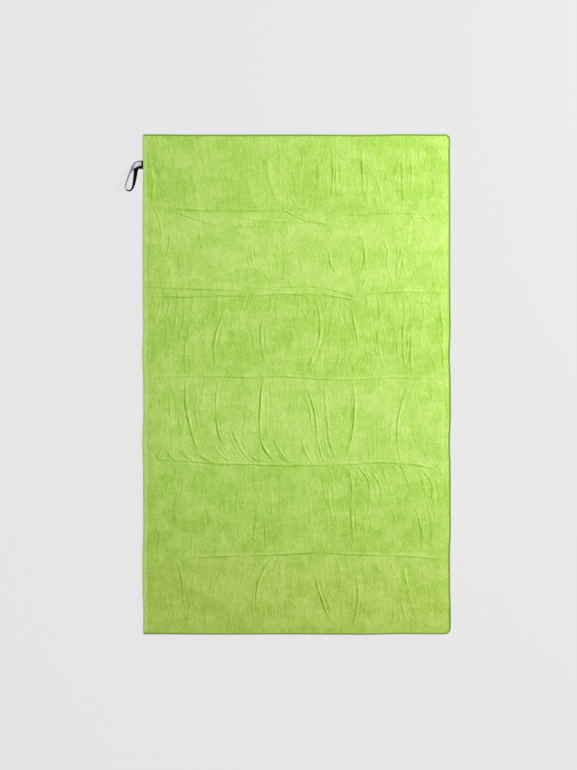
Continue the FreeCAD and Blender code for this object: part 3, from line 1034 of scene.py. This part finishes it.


def plush_look():
    """Short pile: patches brushed one way or the other, panels pressed by turns, a fine nap, painted shade
    in the troughs beside the pleats, and a duller, darker green painted as shade towards the end away from
    the loop."""
    look = Look("plush_cloth")
    patches = look.step(look.noise(95 * MM, 62 * MM, 6.0, 3.1), 0.45, 0.56)
    strokes = look.step(look.noise(16 * MM, 58 * MM, 5.0, 7.7), 0.42, 0.60)
    bars = look.step(look.noise(60 * MM, 17 * MM, 5.0, 4.2), 0.44, 0.62)
    nap = look.noise(5 * MM, 14 * MM, 3.0, 1.3)
    grain = look.noise(2.6 * MM, 4.2 * MM, 2.0, 5.9)
    pile = look.noise(1.1 * MM, 1.9 * MM, 2.0, 9.2)
    fibres = look.noise(0.35 * MM, 1.3 * MM, 2.0, 6.6)
    signal = look.sum_of(0.55, [
        (patches, 0.15), (strokes, 0.10), (bars, 0.06), (nap, 0.44),
        (grain, 0.95), (pile, 0.45), (fibres, 0.30),
    ])
    for number in range(1, PANELS):
        past_crease = look.step(
            look.component("Y"), PANEL_ENDS[number] - PILE_TURN, PANEL_ENDS[number] + PILE_TURN)
        turn = -PILE_CONTRAST if number % 2 else PILE_CONTRAST
        signal = look.math("ADD", signal, look.math("MULTIPLY", past_crease, turn))
    # painted shade: the pile is darkened in the pleats' troughs
    shade = look.add("ShaderNodeAttribute", attribute_name="shade").outputs["Fac"]
    signal = look.math("SUBTRACT", signal, look.math("MULTIPLY", shade, PAINTED_TROUGH_SHADE))
    unshaded_ramp = look.ramp(signal, [
        (0.0, linear(141, 196, 54)), (0.5, linear(182, 219, 102)), (1.0, linear(208, 235, 138))])
    # painted shade: the same pile, duller and darker, for the end away from the loop
    painted_shade_ramp = look.ramp(signal, [
        (0.0, linear(137, 177, 48)), (0.5, linear(176, 206, 88)), (1.0, linear(202, 227, 122))])
    # how much of the painted shade is used, growing towards the end away from the loop
    toward_end = look.step(look.component("Y"), PANEL_ENDS[4], BOTTOM)
    colour = look.mix(toward_end, unshaded_ramp, painted_shade_ramp)
    look.bump(look.sum_of(0.5, [(grain, 0.8), (pile, 0.6), (fibres, 0.35), (nap, 1.1)]), 0.85 * MM)
    return look.finish(
        colour, Roughness=0.92, Sheen_Weight=0.25, Sheen_Roughness=0.5, Specular_IOR_Level=0.15,
        Sheen_Tint=linear(214, 245, 150))


def knit_look(name, dark, light):
    """The smooth back of the cloth: fine knitted ribs along the towel, and a fainter cross pattern."""
    look = Look(name)
    ribs = look.math("SINE", look.math("MULTIPLY", look.component("X"), 2 * math.pi / (1.3 * MM)))
    rows = look.math("SINE", look.math("MULTIPLY", look.component("Y"), 2 * math.pi / (1.0 * MM)))
    wear = look.noise(30 * MM, 45 * MM, 3.0, 2.2)
    fuzz = look.noise(2.5 * MM, 2.5 * MM, 2.0, 4.4)
    colour = look.ramp(look.sum_of(0.5, [(wear, 0.8), (fuzz, 0.6)]), [(0.0, dark), (1.0, light)])
    look.bump(look.sum_of(0.5, [(ribs, 0.3), (rows, 0.15), (fuzz, 0.6)]), 0.35 * MM)
    return look.finish(
        colour, Roughness=0.85, Sheen_Weight=0.15, Sheen_Roughness=0.5, Specular_IOR_Level=0.2)


def thread_look(name, dark, light, roughness):
    """Thread: fine fibres, and a little unevenness from stitch to stitch."""
    look = Look(name)
    fibres = look.noise(0.5 * MM, 0.25 * MM, 2.0, 6.1)
    uneven = look.noise(9 * MM, 9 * MM, 2.0, 8.3)
    colour = look.ramp(look.sum_of(0.5, [(fibres, 0.9), (uneven, 0.8)]), [(0.0, dark), (1.0, light)])
    look.bump(fibres, 0.12 * MM)
    return look.finish(colour, Roughness=roughness, Specular_IOR_Level=0.2)


def tape_look(name, middle, border, rib_contrast):
    """Woven tape: ribs across it, warp threads along it, and selvedges of another shade."""
    look = Look(name)
    ribs = look.math("SINE", look.math("MULTIPLY", look.component("X"), 2 * math.pi / (0.9 * MM)))
    warp = look.math("SINE", look.math("MULTIPLY", look.component("Y"), 2 * math.pi / (0.7 * MM)))
    from_middle = look.math("DIVIDE", look.math("ABSOLUTE", look.component("Y")), TAPE_WIDTH / 2)
    wear = look.noise(5 * MM, 5 * MM, 3.0, 1.7)
    shade = look.sum_of(0.0, [(wear, 0.10), (ribs, rib_contrast)])
    signal = look.math("ADD", from_middle, shade)
    colour = look.ramp(signal, [(0.0, middle), (0.60, middle), (0.76, border), (1.0, border)])
    look.bump(look.math("MULTIPLY", ribs, warp), 0.12 * MM)
    return look.finish(colour, Roughness=0.85, Specular_IOR_Level=0.15)


def make_floor():
    """A plain pale surface under the towel."""
    mesh = bpy.data.meshes.new("floor")
    corners = [(x * FLOOR_HALF, y * FLOOR_HALF, 0) for x, y in ((-1, -1), (1, -1), (1, 1), (-1, 1))]
    mesh.from_pydata(corners, [], [(0, 1, 2, 3)])
    floor = bpy.data.objects.new("floor", mesh)
    floor.location.z = -FLOOR_DROP
    bpy.context.scene.collection.objects.link(floor)
    material = bpy.data.materials.new("pale_floor")
    material.use_nodes = True
    surface = material.node_tree.nodes["Principled BSDF"]
    surface.inputs["Base Color"].default_value = (FLOOR_DIFFUSE, FLOOR_DIFFUSE, FLOOR_DIFFUSE, 1)
    surface.inputs["Roughness"].default_value = 1.0
    surface.inputs["Specular IOR Level"].default_value = 0.0
    surface.inputs["Emission Color"].default_value = (1, 1, 1, 1)
    surface.inputs["Emission Strength"].default_value = FLOOR_GREY - FLOOR_DIFFUSE
    mesh.materials.append(material)


# ---------- the whole towel

def make_towel():
    """Five lengths of cloth with what is sewn to them, the loop and its bar tack."""
    relief = make_relief()
    plush = plush_look()
    back = knit_look("cloth_back", linear(158, 194, 84), linear(192, 226, 122))
    hem_cloth = knit_look("hem_cloth", linear(176, 212, 100), linear(208, 240, 138))
    overlock_thread = thread_look("overlock_thread", linear(100, 126, 40), linear(152, 184, 78), 0.75)
    hem_thread = thread_look("hem_thread", linear(156, 192, 82), linear(182, 216, 106), 0.7)
    for number in range(1, PANELS):
        cloth = make_cloth(number, relief, [plush, back])
        trims = [
            make_hem(number, relief, hem_cloth),
            make_hem_stitches(number, relief, hem_thread),
            make_edge(number, relief, overlock_thread),
        ]
        for piece in [cloth] + trims:
            bend_at_fold(piece)
    outer = tape_look("tape_outer", linear(212, 212, 216), linear(72, 73, 76), 0.03)
    inner = tape_look("tape_inner", linear(10, 10, 10), linear(6, 6, 6), 0.02)
    edge = tape_look("tape_edge", linear(36, 37, 39), linear(26, 27, 28), 0.03)
    make_loop([outer, inner, edge])
    make_bar_tack(thread_look("black_thread", linear(5, 5, 5), linear(20, 21, 20), 0.7))


bpy.context.scene.view_settings.view_transform = "Standard"
make_camera()
make_lights()
make_floor()
make_towel()
